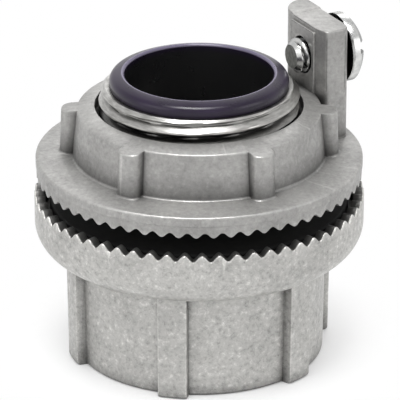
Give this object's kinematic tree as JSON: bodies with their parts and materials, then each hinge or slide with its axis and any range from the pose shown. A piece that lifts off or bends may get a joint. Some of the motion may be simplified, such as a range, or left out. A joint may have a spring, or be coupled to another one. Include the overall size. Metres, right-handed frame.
{
  "type": "grounding conduit hub",
  "caption": "Die-cast zinc watertight conduit hub, 1-inch trade size, with toothed locknut, insulated throat, sealing ring and ground screw.",
  "frame": {"origin": "on the hub's axis, in the plane of the conduit entry's mouth", "axes": "+Z along the axis from the conduit entry towards the throat, -Y towards the front, the ground lug at azimuth 118.5 degrees from the front"},
  "size_m": [0.0553, 0.0552, 0.0549],
  "materials": {
    "zinc_casting": "as_cast",
    "liner_plastic": "gloss",
    "ring_rubber": "matte",
    "screw_plating": "bright"
  },
  "bodies": {
    "hub": {"hub_body": "zinc_casting", "throat_liner": "liner_plastic", "sealing_ring": "ring_rubber"},
    "locknut": {"locknut": "zinc_casting"},
    "ground_screw": {"ground_screw": "screw_plating"}
  },
  "joints": [
    {"name": "locknut_turn", "type": "hinge", "parent": "hub", "child": "locknut", "pos_m": [0, 0, 0.0374], "axis": [0, 0, 1], "range_deg": [-480, 2200]},
    {"name": "ground_screw_turn", "type": "hinge", "parent": "locknut", "child": "ground_screw", "pos_m": [0.01995, 0.01083, 0.0488], "axis": [0.8788, 0.4772, 0], "range_deg": [-250, 1800]}
  ]
}
